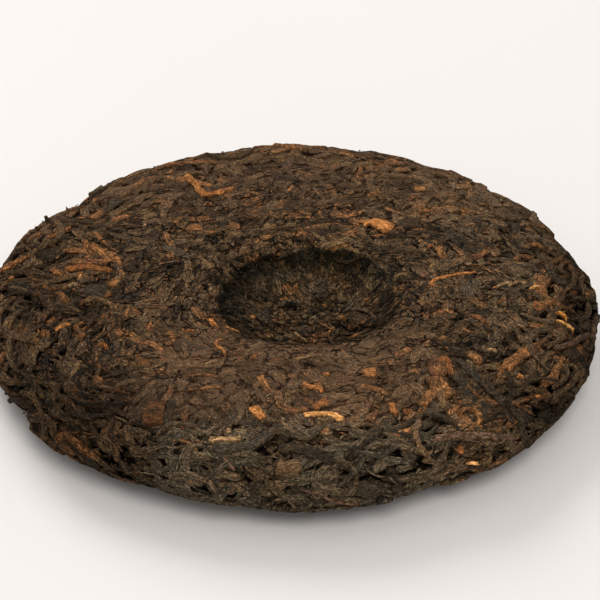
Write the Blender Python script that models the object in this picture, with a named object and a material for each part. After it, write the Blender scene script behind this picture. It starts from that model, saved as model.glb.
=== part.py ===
"""A round pressed cake of dark fermented tea, lying with its dimpled side up.

Metres, +Z up. The origin is the middle of the small flat spot that the cake rests on.
The cake is one solid: a thick disc with a rounded rim, a gently domed underside and a
dimple in its top, with the largest leaves, stems and crumbs fused to its skin.
"""

import math
import random

import bmesh
import bpy
from mathutils import Matrix, Vector, noise
from mathutils.bvhtree import BVHTree

# The disc
CAKE_RADIUS = 0.100
RIM_INNER_RADIUS = 0.086
RIM_TOP = 0.0225
RIM_MIDDLE = 0.0140
RIM_BOTTOM = 0.0055
RIM_ROUNDNESS = 2.3
REST_RADIUS = 0.024
DOME_DIP = 0.0009

# The dimple and the swelling round it, which sit a little off the cake's own middle
DIMPLE_MIDDLE = Vector((0.0063, -0.0063, 0.0))
DIMPLE_FLOOR = 0.0125
DIMPLE_FLOOR_RADIUS = 0.0100
DIMPLE_LIP_RADIUS = 0.0300
DIMPLE_STEEPNESS = 1.9
LIP_ROUNDING = 0.0014
LIP_DROP = 0.0007
CREST_RADIUS = 0.0400
CREST_HEIGHT = 0.0250
CREST_FALL = 1.5

# Unevenness of the hand-pressed body. A rim wave is a number of crests, a height and one crest's angle
RIM_WAVES = ((3, 0.0004, 200), (8, 0.0005, 95), (13, 0.0005, 33))
LUMP_SIZE = 0.016
LUMP_HEIGHT = 0.0009
CRAG_SIZE = 0.0055
CRAG_HEIGHT = 0.0006
CRAG_SHIFT = Vector((7, 3, 5))
CREST_CALM = 0.55
CREST_CALM_WIDTH = 0.020
REST_EDGE = 0.0012

# The crumbled place on the rim
NOTCH_ANGLE = math.radians(142)
NOTCH_HALF_WIDTH = math.radians(9)
NOTCH_DEPTH = 0.0038
NOTCH_DROP = 0.4

# The most noticeable leaves and stems: where each starts and ends on the top, and its width
MARKED_LEAVES = {
    "long_stick": ((0.052, -0.044), (0.073, -0.071), 0.0032),
    "low_stick": ((0.043, -0.082), (0.069, -0.073), 0.0030),
    "russet_blade": ((0.082, -0.029), (0.062, -0.049), 0.0054),
    "square_flake": ((-0.0455, -0.0705), (-0.0375, -0.0700), 0.0090),
    "crumpled_leaf": ((0.045, -0.046), (0.040, -0.068), 0.0066),
    "slate_blade": ((-0.008, -0.082), (0.017, -0.078), 0.0060),
    "golden_blade": ((0.004, -0.073), (0.017, -0.073), 0.0040),
    "bent_stem": ((-0.037, 0.069), (-0.028, 0.055), 0.0028),
    "round_flake": ((0.025, 0.0355), (0.033, 0.0350), 0.0066),
}
MARKED_PROUD = 0.0009

# Other leaves fused to the skin, the largest first
SEED = 11
LONG_LEAVES = dict(count=26, length=(0.018, 0.028), width=(0.0046, 0.0064), proud=0.0007)
SHORT_LEAVES = dict(count=64, length=(0.010, 0.016), width=(0.0040, 0.0058), proud=0.0006)
LEAF_STATIONS = 4
LEAF_THICKNESS = 0.0022
LEAF_END_WIDTH = 0.60
CROWN_SHARE = 0.70
LEAF_TURN = 0.75
LEAF_BEND = 0.35
LEAF_SPACING = 0.45

# Shares of the leaves on the top and on the rim; the others lie on the underside
TOP_SHARE = 0.56
RIM_SHARE = 0.24
TOP_OUTER_RADIUS = 0.090
RIM_LEAF_HEIGHTS = (0.008, 0.020)
UNDERSIDE_RADII = (0.058, 0.086)

# Crumbs in the front of the dimple
CRUMBS = 9
CRUMB_RADIUS = (0.0016, 0.0026)
CRUMB_SHAPE = (1.0, 0.7, 0.6)
CRUMB_RADII = (0.004, 0.019)
CRUMB_HALF_ARC = 1.5

# Facets
SECTORS = 150
DIMPLE_RINGS = 12
TOP_RINGS = 14
RIM_RINGS = 16
UNDERSIDE_RINGS = 16
DECIMATE_TO = 0.19

TEA_COLOUR = (0.050, 0.036, 0.026, 1.0)
TEA_ROUGHNESS = 0.62


def clear_scene():
    for thing in list(bpy.data.objects):
        bpy.data.objects.remove(thing, do_unlink=True)


def tea_material():
    material = bpy.data.materials.new("pressed_tea")
    material.use_nodes = True
    shader = material.node_tree.nodes["Principled BSDF"]
    shader.inputs["Base Color"].default_value = TEA_COLOUR
    shader.inputs["Roughness"].default_value = TEA_ROUGHNESS
    shader.inputs["Metallic"].default_value = 0.0
    return material


def ease(value):
    """A smooth step from 0 to 1."""
    value = min(max(value, 0.0), 1.0)
    return value * value * (3 - 2 * value)


def lower_of(first, second, rounding):
    """The lower of two heights, with a rounded corner where they cross."""
    return (first + second - math.hypot(first - second, rounding)) / 2


def polar(radius, angle, height):
    return Vector((radius * math.cos(angle), radius * math.sin(angle), height))


def crest_height(radius):
    """Height of the swelling round the dimple, which falls away to the rim."""
    if radius < CREST_RADIUS:
        inward = (CREST_RADIUS - radius) / (CREST_RADIUS - DIMPLE_LIP_RADIUS)
        return CREST_HEIGHT - LIP_DROP * inward ** 2
    fall = (radius - CREST_RADIUS) / (RIM_INNER_RADIUS - CREST_RADIUS)
    return CREST_HEIGHT - (CREST_HEIGHT - RIM_TOP) * fall ** CREST_FALL


def bowl_height(radius):
    """Height of the dimple's flat floor and of its wall, which is steepest at the lip."""
    climb = max(0.0, radius - DIMPLE_FLOOR_RADIUS) / (DIMPLE_LIP_RADIUS - DIMPLE_FLOOR_RADIUS)
    lip = crest_height(DIMPLE_LIP_RADIUS)
    return DIMPLE_FLOOR + (lip - DIMPLE_FLOOR) * climb ** DIMPLE_STEEPNESS


def top_height(radius):
    """Height of the top at this distance from the dimple's middle, inside the rim."""
    if radius < CREST_RADIUS:
        return lower_of(bowl_height(radius), crest_height(radius), LIP_ROUNDING)
    return crest_height(radius)


def rim_point(angle):
    """Radius and height on the rounded rim, from +90 degrees at its top to -90 below."""
    power = 2 / RIM_ROUNDNESS
    reach = abs(math.cos(angle)) ** power
    rise = abs(math.sin(angle)) ** power
    radius = RIM_INNER_RADIUS + (CAKE_RADIUS - RIM_INNER_RADIUS) * reach
    if angle > 0:
        return radius, RIM_MIDDLE + (RIM_TOP - RIM_MIDDLE) * rise
    return radius, RIM_MIDDLE - (RIM_MIDDLE - RIM_BOTTOM) * rise


def dome_height(radius):
    """Height of the domed underside, a little below zero inside the resting spot."""
    reach = (radius / REST_RADIUS) ** 2 - 1
    whole = (RIM_INNER_RADIUS / REST_RADIUS) ** 2 - 1
    return RIM_BOTTOM * reach / whole if radius > REST_RADIUS else DOME_DIP * reach


def meridian():
    """The cake's profile as (radius, height), from the dimple's middle over the rim to below."""
    flat = RIM_INNER_RADIUS - CREST_RADIUS
    dimple = [CREST_RADIUS * (i + 1) / DIMPLE_RINGS for i in range(DIMPLE_RINGS)]
    top = [CREST_RADIUS + flat * i / TOP_RINGS for i in range(1, TOP_RINGS)]
    rim = [rim_point(math.pi * (0.5 - i / RIM_RINGS)) for i in range(RIM_RINGS + 1)]
    below = [RIM_INNER_RADIUS * (1 - i / UNDERSIDE_RINGS) for i in range(1, UNDERSIDE_RINGS)]
    points = [(radius, top_height(radius)) for radius in dimple + top]
    return points + rim + [(radius, dome_height(radius)) for radius in below]


def rim_wave(angle):
    turned = [(count * (angle - math.radians(crest)), height) for count, height, crest in RIM_WAVES]
    return sum(height * math.cos(turn) for turn, height in turned)


def notch(angle, height):
    """How far the crumbled place cuts in: deepest at the rim's upper edge."""
    turn = math.remainder(angle - NOTCH_ANGLE, math.tau) / NOTCH_HALF_WIDTH
    return NOTCH_DEPTH * max(0.0, 1 - turn * turn) * ease(height / RIM_TOP)


def skin_point(radius, height, angle):
    """A point of the body's skin, shifted towards the dimple's middle and made uneven."""
    outward = ease(radius / RIM_INNER_RADIUS)
    on_top = height > RIM_MIDDLE or radius < DIMPLE_LIP_RADIUS
    middle = DIMPLE_MIDDLE * (1 - outward) if on_top else Vector()
    cut = notch(angle, height)
    reach = radius + (rim_wave(angle) - cut) * outward ** 2
    return middle + polar(reach, angle, height - NOTCH_DROP * cut * outward ** 4)


def roughened(point, normal):
    """The point pushed in or out by broad lumps and small crags, calmer round the crest."""
    off_crest = (point.to_2d() - DIMPLE_MIDDLE.to_2d()).length - CREST_RADIUS
    calm = 1 - CREST_CALM * math.exp(-(off_crest / CREST_CALM_WIDTH) ** 2)
    lumps = noise.noise(point / LUMP_SIZE) * LUMP_HEIGHT
    crags = noise.noise(point / CRAG_SIZE + CRAG_SHIFT) * CRAG_HEIGHT * calm
    return point + normal * (lumps + crags) * ease(point.z / REST_EDGE)


def body_mesh():
    """The cake's body, closed, before it is cut flat where it rests."""
    shape = bmesh.new()
    rings = []
    for radius, height in meridian():
        angles = [math.tau * i / SECTORS for i in range(SECTORS)]
        rings.append([shape.verts.new(skin_point(radius, height, angle)) for angle in angles])
    top_middle = shape.verts.new(skin_point(0, top_height(0), 0))
    low_middle = shape.verts.new(Vector((0, 0, -DOME_DIP)))
    for i in range(SECTORS):
        j = (i + 1) % SECTORS
        for inner, outer in zip(rings, rings[1:]):
            shape.faces.new((inner[i], outer[i], outer[j], inner[j]))
        shape.faces.new((top_middle, rings[0][i], rings[0][j]))
        shape.faces.new((low_middle, rings[-1][j], rings[-1][i]))
    bmesh.ops.recalc_face_normals(shape, faces=shape.faces)
    shape.normal_update()
    moved = [roughened(vert.co, vert.normal) for vert in shape.verts]
    for vert, place in zip(shape.verts, moved):
        vert.co = place
    return stored(shape, "tea_cake")


def stored(shape, name):
    mesh = bpy.data.meshes.new(name)
    shape.to_mesh(mesh)
    shape.free()
    return mesh


def decimate(thing, ratio):
    """Fewer facets, kept where the skin bends most."""
    fewer = thing.modifiers.new("fewer_facets", "DECIMATE")
    fewer.ratio = ratio
    apply_modifiers(thing)


def apply_modifiers(thing):
    """Gives the object its mesh with the modifiers applied, in place of the one it had."""
    graph = bpy.context.evaluated_depsgraph_get()
    mesh = bpy.data.meshes.new_from_object(thing.evaluated_get(graph))
    thing.modifiers.clear()
    old, thing.data = thing.data, mesh
    mesh.name = old.name
    bpy.data.meshes.remove(old)


def cut_flat(mesh):
    """Cuts the dome off at the floor, and closes it with one flat face."""
    shape = bmesh.new()
    shape.from_mesh(mesh)
    everything = shape.verts[:] + shape.edges[:] + shape.faces[:]
    floor = dict(plane_co=(0, 0, 0), plane_no=(0, 0, -1), dist=1e-6)
    cut = bmesh.ops.bisect_plane(shape, geom=everything, clear_outer=True, **floor)
    edges = [item for item in cut["geom_cut"] if isinstance(item, bmesh.types.BMEdge)]
    bmesh.ops.contextual_create(shape, geom=edges)
    bmesh.ops.recalc_face_normals(shape, faces=shape.faces)
    shape.to_mesh(mesh)
    shape.free()


def skin_tree(thing):
    return BVHTree.FromObject(thing, bpy.context.evaluated_depsgraph_get())


def leaf_path(tree, start, heading, length, bend):
    """Points and normals along the skin, from a start, in a heading that turns by bend."""
    step = length / (LEAF_STATIONS - 1)
    place, normal, _, _ = tree.find_nearest(start)
    points = [(place, normal)]
    for _ in range(LEAF_STATIONS - 1):
        heading = (heading - normal * heading.dot(normal)).normalized()
        place, normal, _, _ = tree.find_nearest(place + heading * step)
        points.append((place, normal))
        heading = Matrix.Rotation(bend / (LEAF_STATIONS - 1), 3, normal) @ heading
    return points


def leaf_mesh(name, path, width, proud):
    """A flat-backed strip, narrower at both ends, laid half sunk along the path."""
    shape = bmesh.new()
    rings = []
    last = len(path) - 1
    for i, (place, normal) in enumerate(path):
        run = path[min(i + 1, last)][0] - path[max(i - 1, 0)][0]
        side = run.cross(normal).normalized()
        half = width / 2 * (LEAF_END_WIDTH if i in (0, last) else 1)
        crown = place + normal * proud
        low = crown - normal * LEAF_THICKNESS
        shoulder = side * half * CROWN_SHARE
        ring = (crown + shoulder, crown - shoulder, low - side * half, low + side * half)
        rings.append([shape.verts.new(point) for point in ring])
    for first, second in zip(rings, rings[1:]):
        for i in range(4):
            j = (i + 1) % 4
            shape.faces.new((first[i], first[j], second[j], second[i]))
    shape.faces.new(rings[0][::-1])
    shape.faces.new(rings[-1])
    bmesh.ops.triangulate(shape, faces=shape.faces)
    bmesh.ops.recalc_face_normals(shape, faces=shape.faces)
    return stored(shape, name)


def add_leaf(into, name, path, width, proud):
    into.objects.link(bpy.data.objects.new(name, leaf_mesh(name, path, width, proud)))


def add_marked_leaves(tree, into):
    """Adds the noticeable leaves, and returns their middles so that others keep clear."""
    middles = []
    for name, (start, end, width) in MARKED_LEAVES.items():
        first = Vector((*start, CREST_HEIGHT))
        run = Vector((*end, CREST_HEIGHT)) - first
        path = leaf_path(tree, first, run.normalized(), run.length, 0)
        add_leaf(into, name, path, width, MARKED_PROUD)
        middles.append((path[0][0] + path[-1][0]) / 2)
    return middles


def spread_place(chance):
    """A random place near the top, the rim or the outer underside."""
    angle = chance.uniform(0, math.tau)
    where = chance.random()
    if where < TOP_SHARE:
        square = chance.uniform(DIMPLE_LIP_RADIUS ** 2, TOP_OUTER_RADIUS ** 2)
        radius = math.sqrt(square)
        return DIMPLE_MIDDLE * (1 - ease(radius / RIM_INNER_RADIUS)) + polar(radius, angle, RIM_TOP)
    if where < TOP_SHARE + RIM_SHARE:
        return polar(CAKE_RADIUS, angle, chance.uniform(*RIM_LEAF_HEIGHTS))
    inner, outer = UNDERSIDE_RADII
    return polar(math.sqrt(chance.uniform(inner ** 2, outer ** 2)), angle, 0)


def add_leaves(tree, into, taken, chance, count, length, width, proud):
    """Adds leaves spread evenly over the skin: a place too near another leaf is passed over."""
    made = 0
    while made < count:
        place, normal, _, _ = tree.find_nearest(spread_place(chance))
        long = chance.uniform(*length)
        if any((place - other).length < LEAF_SPACING * long for other in taken):
            continue
        around = Vector((-place.y, place.x, 0)).normalized()
        heading = Matrix.Rotation(chance.gauss(0, LEAF_TURN), 3, normal) @ around
        path = leaf_path(tree, place - heading * long / 2, heading, long, chance.gauss(0, LEAF_BEND))
        add_leaf(into, f"leaf_{len(into.objects):03d}", path, chance.uniform(*width), proud)
        taken.append(place)
        made += 1


def add_crumbs(tree, into, chance):
    """Adds crumbs that lie in the front of the dimple, half sunk."""
    for i in range(CRUMBS):
        angle = -math.pi / 2 + chance.uniform(-CRUMB_HALF_ARC, CRUMB_HALF_ARC)
        start = DIMPLE_MIDDLE + polar(chance.uniform(*CRUMB_RADII), angle, CREST_HEIGHT)
        place, normal, _, _ = tree.ray_cast(start, Vector((0, 0, -1)))
        radius = chance.uniform(*CRUMB_RADIUS)
        turn = Matrix.Rotation(chance.uniform(0, math.tau), 4, normal)
        size = Matrix.Diagonal((*[radius * share for share in CRUMB_SHAPE], 1))
        shape = bmesh.new()
        lie = Matrix.Translation(place) @ turn @ size
        bmesh.ops.create_icosphere(shape, subdivisions=1, radius=1, matrix=lie)
        name = f"crumb_{i:02d}"
        into.objects.link(bpy.data.objects.new(name, stored(shape, name)))


def fuse(cake, pieces):
    """One union of the cake with every piece, then only its outer skin is kept."""
    union = cake.modifiers.new("fused_leaves", "BOOLEAN")
    union.operation = "UNION"
    union.operand_type = "COLLECTION"
    union.collection = pieces
    apply_modifiers(cake)
    for piece in list(pieces.objects):
        bpy.data.objects.remove(piece, do_unlink=True)
    bpy.data.collections.remove(pieces)
    keep_outer_skin(cake.data)


def joined_group(start):
    """The vertices that a run of edges joins to this one, itself among them."""
    group = {start}
    waiting = [start]
    while waiting:
        for edge in waiting.pop().link_edges:
            for vert in edge.verts:
                if vert not in group:
                    group.add(vert)
                    waiting.append(vert)
    return group


def keep_outer_skin(mesh):
    """Drops scraps and sealed hollows: only the largest run of joined faces stays."""
    shape = bmesh.new()
    shape.from_mesh(mesh)
    unseen = set(shape.verts)
    groups = []
    while unseen:
        groups.append(joined_group(next(iter(unseen))))
        unseen -= groups[-1]
    for group in sorted(groups, key=len)[:-1]:
        bmesh.ops.delete(shape, geom=list(group), context="VERTS")
    shape.to_mesh(mesh)
    shape.free()


def main():
    clear_scene()
    chance = random.Random(SEED)
    cake = bpy.data.objects.new("tea_cake", body_mesh())
    bpy.context.scene.collection.objects.link(cake)
    decimate(cake, DECIMATE_TO)
    cut_flat(cake.data)
    tree = skin_tree(cake)
    pieces = bpy.data.collections.new("pieces_to_fuse")
    bpy.context.scene.collection.children.link(pieces)
    taken = add_marked_leaves(tree, pieces)
    add_leaves(tree, pieces, taken, chance, **LONG_LEAVES)
    add_leaves(tree, pieces, taken, chance, **SHORT_LEAVES)
    add_crumbs(tree, pieces, chance)
    fuse(cake, pieces)
    cake.data.materials.clear()
    cake.data.materials.append(tea_material())


main()
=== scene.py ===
"""The looks of a round cake of pressed dark tea: leaves laid over a dark core, floor, light and camera.

Metres, +Z up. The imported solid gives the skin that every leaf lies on.
"""

import math
import random

import bmesh
import bpy
from mathutils import Matrix, Vector
from mathutils.bvhtree import BVHTree


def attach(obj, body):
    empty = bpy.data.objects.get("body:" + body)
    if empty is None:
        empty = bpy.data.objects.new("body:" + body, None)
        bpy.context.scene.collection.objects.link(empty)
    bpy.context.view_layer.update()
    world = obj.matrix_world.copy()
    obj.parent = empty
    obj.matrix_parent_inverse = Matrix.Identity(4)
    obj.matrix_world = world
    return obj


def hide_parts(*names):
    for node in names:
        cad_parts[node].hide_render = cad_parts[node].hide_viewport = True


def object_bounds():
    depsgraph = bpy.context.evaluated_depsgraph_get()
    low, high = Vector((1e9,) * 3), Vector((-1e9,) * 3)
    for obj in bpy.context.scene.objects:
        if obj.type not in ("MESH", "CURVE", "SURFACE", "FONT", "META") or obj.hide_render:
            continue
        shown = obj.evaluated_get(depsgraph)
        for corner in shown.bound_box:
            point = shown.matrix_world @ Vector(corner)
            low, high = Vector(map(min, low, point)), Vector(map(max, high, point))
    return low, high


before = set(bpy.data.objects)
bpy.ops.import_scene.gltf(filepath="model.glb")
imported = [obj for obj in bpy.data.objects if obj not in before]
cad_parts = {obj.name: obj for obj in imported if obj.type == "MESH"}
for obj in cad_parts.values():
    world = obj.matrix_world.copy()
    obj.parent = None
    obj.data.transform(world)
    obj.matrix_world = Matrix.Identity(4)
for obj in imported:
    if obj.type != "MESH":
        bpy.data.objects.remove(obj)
cad_low, cad_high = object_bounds()

MM = 0.001
CAKE = "tea_cake"
OUTER_RADIUS = min(cad_high.x, cad_high.y)

# The camera
CAMERA_DISTANCE = 0.75
CAMERA_ELEVATION = math.radians(33.6)
CAMERA_ROLL = math.radians(0.3)
CAMERA_AIM = Vector((0.003, 0.0, 0.0178))
SENSOR = 36.0
LENS = 136.6
PICTURE = 600

# How loosely leaves are pressed, from the tight middle to the slack rim
TIGHT = 0.34
SLACK = 1.5
TIGHT_RADIUS = 0.50 * OUTER_RADIUS
SLACK_RADIUS = 0.97 * OUTER_RADIUS

# Heights between which the cake's upper side begins
TOP_BEGINS = 5.0 * MM
TOP_FULL = 8.0 * MM

# The dimple
DIMPLE_MIDDLE = Vector((0.0063, -0.0063, 0.0))
DIMPLE_RADIUS = 0.029
DIMPLE_FLOOR_RADIUS = 0.012
DIMPLE_LIP = 0.0240
DIMPLE_SHADOW = (0.58, 0.78, 0.73, 1.0)
# Painted shadows of holes in the dimple's floor, in millimetres: middle x and y, half their length and half
# their width
HOLLOW_SHADOWS = [(15.5, -7.0, 5.4, 3.2), (22.5, -12.5, 4.8, 2.8), (0.6, 3.4, 3.2, 2.0), (8.0, 0.4, 1.9, 1.5)]

# The skin that leaves lie on, and the core below them
SKIN_VOXEL = 0.0011
SKIN_SMOOTHING = 4
CORE_VOXEL = 0.0012
CORE_SMOOTHING = 3
CORE_SINK = 0.0004
CORE_SINK_AT_RIM = 0.0020
CORE_LIFT_BELOW = 0.0005
CORE_CRAGS = 0.0009

# How leaves are pressed on the skin: how far they sway, their ripples, the unevenness of the cap,
# how softly they bend at the cap and at the floor, and the step from the lowest leaf to the highest
WARP = 0.7 * MM
RIPPLE = 0.7 * MM
CAP_UNEVEN = 1.0 * MM
CAP_EASE = 0.3 * MM
FLOOR_EASE = 0.08 * MM
ORDER_STEP = 0.2 * MM

# Where the leaves are darker or lighter over a wide patch, in painted light and shade and partly in their own
# tone: its middle x and y, half its length and half its width in millimetres, and what its light is
# multiplied by
LIGHT_AND_TONE_PATCHES = {
    "left_middle": (-72, -11, 22, 11, 0.60),
    "left_low": (-47, -74, 24, 18, 0.66),
    "front_left": (-21, -88, 12, 8, 1.55),
    "front_crest": (2, -75, 46, 11, 1.24),
    "front_slate": (22, -92, 14, 8, 0.80),
    "front_right": (53, -81, 16, 14, 1.16),
    "right_low": (73, -60, 18, 16, 0.55),
    "far_left": (-26, 42, 15, 11, 0.72),
    "crest_left": (-23, -61, 14, 10, 0.74),
    "dimple_middle": (8, 4, 22, 14, 1.25),
}

# Grain sizes of the patterns, as waves for each metre
BROAD = 38.0
MEDIUM = 160.0
GRIT = 1500.0

# Points a square metre at most, before the spacing thins them, and the share of them under the cake
DENSEST = 2.0e6
SHARE_BELOW = 0.65

# Shine
LEAF_SHINE = 0.04
DULL_SHINE = 0.03
FLOOR_SHINE = 0.1

# Fixed seeds of the shapes' sizes and of the leaves laid one by one
SHAPE_SEED = 5
MARK_SEED = 17

# Floor and light
FLOOR_REACH = 4.0
SKY = (1.0, 0.965, 0.93, 1.0)
SKY_STRENGTH = 0.62


class Wire:
    """An output of a node. Sums and products on it add Math nodes to its tree."""

    def __init__(self, sheet, link):
        self.sheet = sheet
        self.link = link

    def __add__(self, other):
        return self.sheet.maths("ADD", self, other)

    def __sub__(self, other):
        return self.sheet.maths("SUBTRACT", self, other)

    def __mul__(self, other):
        return self.sheet.maths("MULTIPLY", self, other)

    def __truediv__(self, other):
        return self.sheet.maths("DIVIDE", self, other)

    def __rsub__(self, other):
        return self.sheet.maths("SUBTRACT", other, self)

    def __rtruediv__(self, other):
        return self.sheet.maths("DIVIDE", other, self)

    __radd__ = __add__
    __rmul__ = __mul__


class Sheet:
    """A node tree that nodes are written into, one call a node."""

    def __init__(self, tree):
        self.tree = tree

    def node(self, kind, settings=None, sockets=None, output=0):
        """Adds a node: its settings come first, then its sockets by name or number."""
        made = self.tree.nodes.new(kind)
        for name, value in (settings or {}).items():
            if name == "stops":
                self.set_stops(made.color_ramp, value)
            else:
                setattr(made, name, value)
        for name, value in (sockets or {}).items():
            self.feed(self.socket(made.inputs, name), value)
        return Wire(self, self.socket(made.outputs, output))

    def socket(self, sockets, name):
        if isinstance(name, int):
            return sockets[name]
        return next(found for found in sockets if found.name == name and found.enabled)

    def feed(self, socket, value):
        if isinstance(value, Wire):
            self.tree.links.new(value.link, socket)
        else:
            socket.default_value = value

    def set_stops(self, ramp, stops):
        while len(ramp.elements) < len(stops):
            ramp.elements.new(1.0)
        for element, (place, colour) in zip(ramp.elements, stops):
            element.position = place
            element.color = colour

    def maths(self, operation, first, second=0.0):
        return self.node("ShaderNodeMath", {"operation": operation}, {0: first, 1: second})

    def vector(self, operation, first, second=(0, 0, 0), output="Vector"):
        return self.node("ShaderNodeVectorMath", {"operation": operation}, {0: first, 1: second}, output)

    def stretched(self, vector, factor):
        return self.node("ShaderNodeVectorMath", {"operation": "SCALE"}, {0: vector, "Scale": factor})

    def span(self, value, low, high, to_low=0.0, to_high=1.0, smooth=False):
        """The value's place between low and high, held inside both ends."""
        kind = "SMOOTHSTEP" if smooth else "LINEAR"
        ends = {"Value": value, "From Min": low, "From Max": high, "To Min": to_low, "To Max": to_high}
        return self.node("ShaderNodeMapRange", {"interpolation_type": kind, "clamp": True}, ends)

    def noise(self, place, scale, detail=2.0, roughness=0.5, output="Fac"):
        sockets = {"Vector": place, "Scale": scale, "Detail": detail, "Roughness": roughness}
        return self.node("ShaderNodeTexNoise", {"noise_dimensions": "3D"}, sockets, output)

    def parts(self, vector):
        return [self.node("ShaderNodeSeparateXYZ", {}, {"Vector": vector}, axis) for axis in "XYZ"]

    def joined(self, x, y, z):
        return self.node("ShaderNodeCombineXYZ", {}, {"X": x, "Y": y, "Z": z})


class Finish(Sheet):
    """The node tree of one material."""

    def __init__(self, name):
        self.material = bpy.data.materials.new(name)
        self.material.use_nodes = True
        super().__init__(self.material.node_tree)
        self.shader = self.tree.nodes["Principled BSDF"]

    def place(self):
        return self.node("ShaderNodeTexCoord", {}, {}, "Object")

    def attribute(self, name, output="Fac"):
        return self.node("ShaderNodeAttribute", {"attribute_name": name}, {}, output)

    def ramp(self, value, stops):
        return self.node("ShaderNodeValToRGB", {"stops": stops}, {"Fac": value}, "Color")

    def mix(self, share, first, second, how="MIX"):
        settings = {"data_type": "RGBA", "blend_type": how, "clamp_factor": True}
        sockets = {"Factor": share, "A": first, "B": second}
        return self.node("ShaderNodeMix", settings, sockets, "Result")

    def shaded(self, colour, strength):
        """The colour times a number."""
        grey = self.node("ShaderNodeCombineColor", {}, {0: strength, 1: strength, 2: strength})
        return self.mix(1.0, colour, grey, "MULTIPLY")

    def bump(self, height, distance, strength=1.0, under=None):
        sockets = {"Height": height, "Distance": distance, "Strength": strength}
        if under:
            sockets["Normal"] = under
        return self.node("ShaderNodeBump", {}, sockets)

    def finished(self, colour, roughness, normal, shine):
        inputs = self.shader.inputs
        self.feed(inputs["Base Color"], colour)
        self.feed(inputs["Roughness"], roughness)
        self.feed(inputs["Normal"], normal)
        inputs["Specular IOR Level"].default_value = shine
        return self.material


# Colours

def paint(red, green, blue):
    """A colour given as it shows on a screen, from 0 to 255, turned to the linear values of a shader."""
    screen = [value / 255 for value in (red, green, blue)]
    return (*[s / 12.92 if s <= 0.04045 else ((s + 0.055) / 1.055) ** 2.4 for s in screen], 1.0)


def tone_stops(*stops):
    """The stops of a ramp, each given as its place and its colour on a screen."""
    return [(place, paint(*colour)) for place, *colour in stops]


# Tones of the leaves and of the core
DARK_TONES = tone_stops((0.0, 41, 32, 22), (0.3, 74, 58, 41), (0.6, 106, 83, 57), (0.8, 88, 71, 53),
                        (0.94, 122, 86, 53), (1.0, 150, 100, 60))
SLATE_TONES = tone_stops((0.0, 50, 44, 35), (0.5, 70, 62, 51), (1.0, 92, 79, 61))
RUSSET_TONES = tone_stops((0.0, 104, 67, 43), (0.4, 136, 90, 54), (0.75, 172, 118, 69), (1.0, 118, 76, 51))
STEM_TONES = tone_stops((0.0, 88, 64, 50), (0.5, 122, 93, 73), (1.0, 74, 62, 51))
GOLD_TONES = tone_stops((0.0, 196, 126, 66), (0.6, 222, 162, 98), (1.0, 206, 150, 94))
BRIGHT_TONES = tone_stops((0.0, 250, 164, 80), (1.0, 255, 194, 118))
TAN_TONES = tone_stops((0.0, 114, 89, 61), (0.6, 142, 111, 76), (1.0, 166, 132, 92))
HAIR_TONES = tone_stops((0.0, 120, 102, 78), (1.0, 164, 146, 120))
ORANGE_TONES = tone_stops((0.0, 134, 83, 46), (0.6, 174, 110, 60), (1.0, 202, 134, 74))
CORE_TONES = tone_stops((0.0, 34, 26, 18), (0.45, 76, 60, 42), (0.82, 104, 82, 57), (0.93, 136, 90, 52),
                        (1.0, 150, 120, 82))

# Colours that lie over the tones
RUST = paint(138, 90, 52)
SOIL = paint(72, 56, 38)
PAINTED_SHEEN = paint(88, 79, 64)
# Painted grey sheen on the dimple's far wall
FRONT_GREY = paint(97, 88, 71)
SPECKS = paint(168, 136, 98)
# Painted sheen and haze over the crest and the back
SHEEN_HAZE = paint(127, 98, 73)
DIMPLE_BROWN = paint(66, 54, 39)
FLOOR_COLOURS = (paint(220, 218, 217), paint(227, 225, 224))


# Finishes

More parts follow.
